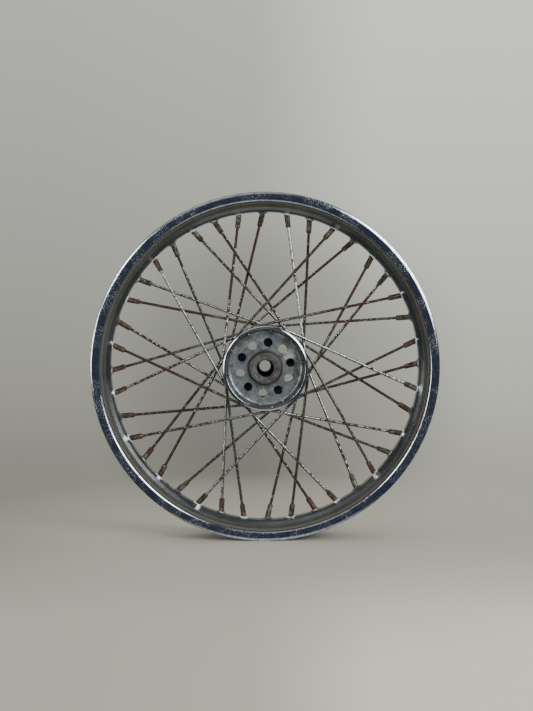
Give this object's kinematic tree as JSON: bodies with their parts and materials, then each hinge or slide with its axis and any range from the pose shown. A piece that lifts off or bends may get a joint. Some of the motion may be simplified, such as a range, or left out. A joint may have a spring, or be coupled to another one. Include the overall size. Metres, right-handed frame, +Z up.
{
  "type": "spoked wheel",
  "caption": "Laced motorcycle front wheel without tyre or axle: chromed drop-centre rim, crossed headed spokes with nipples, one-piece hub with bell flanges and tapered bearing parts",
  "frame": {"origin": "on the wheel's axis, in the mid plane of the rim", "axes": "+Y is the axle's axis, from the ten-hole face at the front towards the back; +Z is up and +X is to the right seen from the front"},
  "size_m": [0.563, 0.0906, 0.563],
  "materials": {
    "chromed_steel": "worn chrome on the flanges, dull grey plating in the well",
    "hub_plating": "weathered chrome with stains, polished rolled lips",
    "spoke_steel": "rusted plated wire with bright patches",
    "nipple_steel": "tarnished plated steel with rust",
    "bearing_steel": "ground bearing steel with a film of grease",
    "seal_steel": "dull pressed steel",
    "seal_rubber": "matt black nitrile rubber"
  },
  "bodies": {
    "wheel": {"rim": "chromed_steel", "hub": "hub_plating", "spoke_front_outer_01": "spoke_steel", "spoke_front_outer_02": "spoke_steel", "spoke_front_outer_03": "spoke_steel", "spoke_front_outer_04": "spoke_steel", "spoke_front_outer_05": "spoke_steel", "spoke_front_outer_06": "spoke_steel", "spoke_front_outer_07": "spoke_steel", "spoke_front_outer_08": "spoke_steel", "spoke_front_outer_09": "spoke_steel", "spoke_front_outer_10": "spoke_steel", "spoke_front_inner_01": "spoke_steel", "spoke_front_inner_02": "spoke_steel", "spoke_front_inner_03": "spoke_steel", "spoke_front_inner_04": "spoke_steel", "spoke_front_inner_05": "spoke_steel", "spoke_front_inner_06": "spoke_steel", "spoke_front_inner_07": "spoke_steel", "spoke_front_inner_08": "spoke_steel", "spoke_front_inner_09": "spoke_steel", "spoke_front_inner_10": "spoke_steel", "spoke_back_outer_01": "spoke_steel", "spoke_back_outer_02": "spoke_steel", "spoke_back_outer_03": "spoke_steel", "spoke_back_outer_04": "spoke_steel", "spoke_back_outer_05": "spoke_steel", "spoke_back_outer_06": "spoke_steel", "spoke_back_outer_07": "spoke_steel", "spoke_back_outer_08": "spoke_steel", "spoke_back_outer_09": "spoke_steel", "spoke_back_outer_10": "spoke_steel", "spoke_back_inner_01": "spoke_steel", "spoke_back_inner_02": "spoke_steel", "spoke_back_inner_03": "spoke_steel", "spoke_back_inner_04": "spoke_steel", "spoke_back_inner_05": "spoke_steel", "spoke_back_inner_06": "spoke_steel", "spoke_back_inner_07": "spoke_steel", "spoke_back_inner_08": "spoke_steel", "spoke_back_inner_09": "spoke_steel", "spoke_back_inner_10": "spoke_steel", "nipples_front_outer": "nipple_steel", "nipples_front_inner": "nipple_steel", "nipples_back_outer": "nipple_steel", "nipples_back_inner": "nipple_steel", "front_bearing_outer_ring": "bearing_steel", "front_seal_case": "seal_steel", "front_seal_lip": "seal_rubber", "front_seal_spring": "bearing_steel", "back_bearing_outer_ring": "bearing_steel", "back_seal_case": "seal_steel", "back_seal_lip": "seal_rubber", "back_seal_spring": "bearing_steel"},
    "back_inner_ring": {"back_bearing_inner_ring": "bearing_steel"},
    "back_roller_set": {"back_bearing_rollers": "bearing_steel", "back_bearing_cage": "seal_steel"}
  },
  "joints": [
    {"name": "inner_ring_spin", "type": "hinge", "parent": "wheel", "child": "back_inner_ring", "pos_m": [0, 0.03087, 0], "axis": [0, 1, 0], "continuous": true},
    {"name": "roller_set_spin", "type": "hinge", "parent": "wheel", "child": "back_roller_set", "pos_m": [0, 0.03087, 0], "axis": [0, 1, 0], "continuous": true}
  ],
  "couplings": [
    {"joint": "roller_set_spin", "follows": "inner_ring_spin", "ratio": 0.4205}
  ]
}
